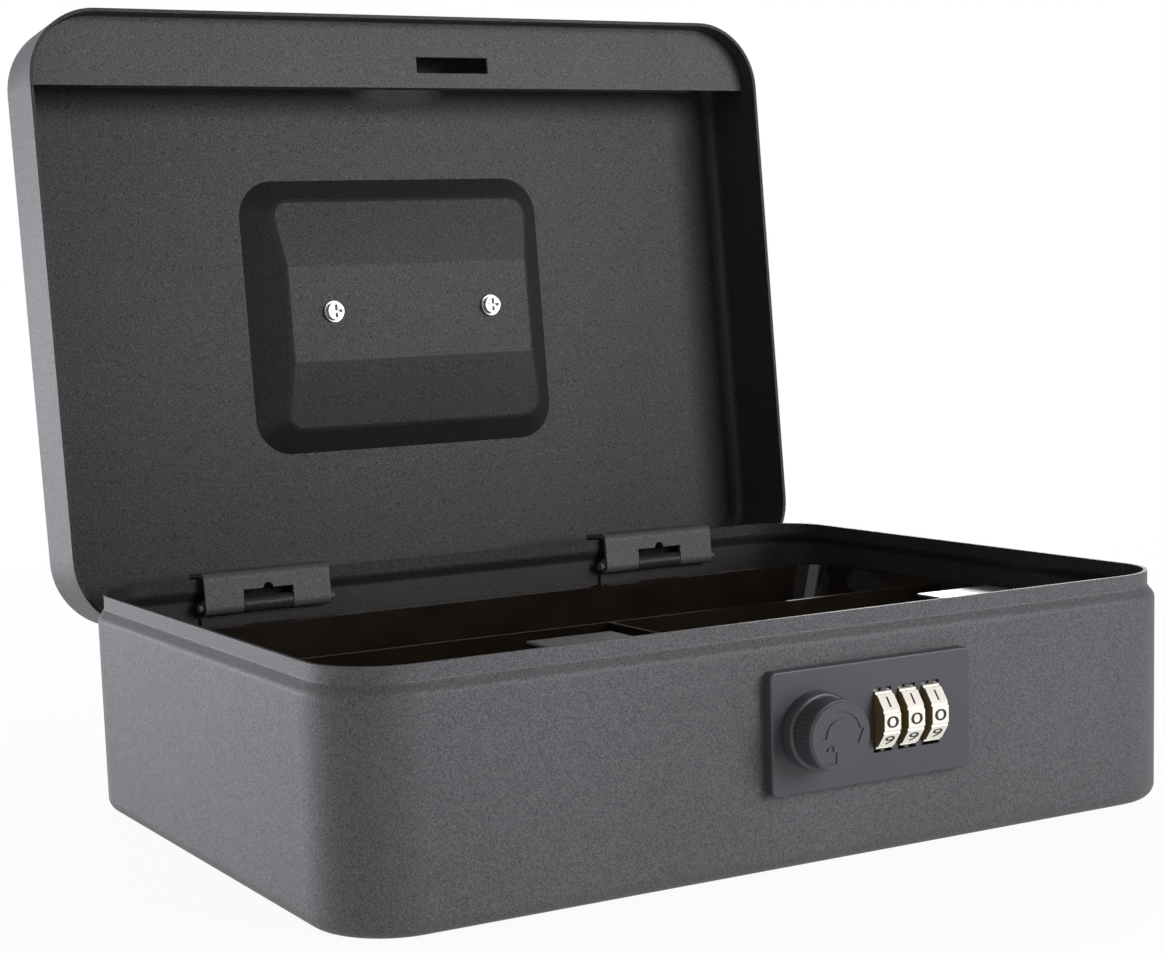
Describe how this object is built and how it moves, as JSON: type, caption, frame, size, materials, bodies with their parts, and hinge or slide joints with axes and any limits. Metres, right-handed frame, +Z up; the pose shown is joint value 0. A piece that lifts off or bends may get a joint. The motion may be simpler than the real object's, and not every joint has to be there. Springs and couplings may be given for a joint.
{
  "type": "cash box",
  "caption": "Rounded steel cash box with a hinged lid, a combination lock with knob, a lift-out coin tray and a fold-down carrying handle.",
  "frame": {"origin": "centre of the bottom face", "axes": "+Z up, +X to the right as seen from the lock, +Y to the hinges at the back"},
  "size_m": [0.25, 0.2369, 0.2279],
  "materials": {
    "powder_coat": "fine-textured charcoal powder coat",
    "black_plastic": "matte black moulded plastic",
    "tray_plastic": "glossy black moulded plastic",
    "dial_metal": "pale gold satin plating",
    "zinc_steel": "bright zinc plating"
  },
  "bodies": {
    "base": {"base_shell": "powder_coat", "tray_rests": "powder_coat", "hinge_base_leaf_left": "powder_coat", "hinge_base_leaf_right": "powder_coat", "hinge_pin_left": "powder_coat", "hinge_pin_right": "powder_coat", "lock_faceplate": "black_plastic", "lock_case": "zinc_steel", "lock_screws": "zinc_steel", "dial_axle": "zinc_steel", "fence_bar": "zinc_steel", "dial_spring": "zinc_steel"},
    "lid": {"lid_shell": "powder_coat", "strike_rail": "powder_coat", "hinge_lid_leaf_left": "powder_coat", "hinge_lid_leaf_right": "powder_coat", "handle_bracket_left": "black_plastic", "handle_bracket_right": "black_plastic", "handle_screws": "zinc_steel", "handle_washers": "zinc_steel"},
    "handle": {"handle_bail": "zinc_steel", "handle_grip": "black_plastic"},
    "knob": {"knob": "black_plastic", "knob_spindle": "zinc_steel", "hook_cam": "zinc_steel", "cam_nut": "zinc_steel"},
    "dial_left": {"dial_left": "dial_metal", "code_ring_left": "zinc_steel"},
    "dial_middle": {"dial_middle": "dial_metal", "code_ring_middle": "zinc_steel"},
    "dial_right": {"dial_right": "dial_metal", "code_ring_right": "zinc_steel"},
    "tray": {"coin_tray": "tray_plastic", "label_plates": "zinc_steel"}
  },
  "joints": [
    {"name": "lid_hinge", "type": "hinge", "parent": "base", "child": "lid", "pos_m": [0, 0.0857, 0.0534], "axis": [-1, 0, 0], "range_deg": [-95.3, 0]},
    {"name": "handle_swing", "type": "hinge", "parent": "lid", "child": "handle", "pos_m": [0, 0.12221, 0.13739], "axis": [1, 0, 0], "range_deg": [0, 90]},
    {"name": "knob_turn", "type": "hinge", "parent": "base", "child": "knob", "pos_m": [-0.0003, -0.09, 0.0348], "axis": [0, 1, 0], "range_deg": [-90, 0]},
    {"name": "dial_left_spin", "type": "hinge", "parent": "base", "child": "dial_left", "pos_m": [0.02, -0.089, 0.0348], "axis": [1, 0, 0], "continuous": true},
    {"name": "dial_middle_spin", "type": "hinge", "parent": "base", "child": "dial_middle", "pos_m": [0.0274, -0.089, 0.0348], "axis": [1, 0, 0], "continuous": true},
    {"name": "dial_right_spin", "type": "hinge", "parent": "base", "child": "dial_right", "pos_m": [0.0348, -0.089, 0.0348], "axis": [1, 0, 0], "continuous": true},
    {"name": "tray_lift", "type": "slide", "parent": "base", "child": "tray", "axis": [0, 0, 1], "range_m": [0, 0.12]}
  ]
}
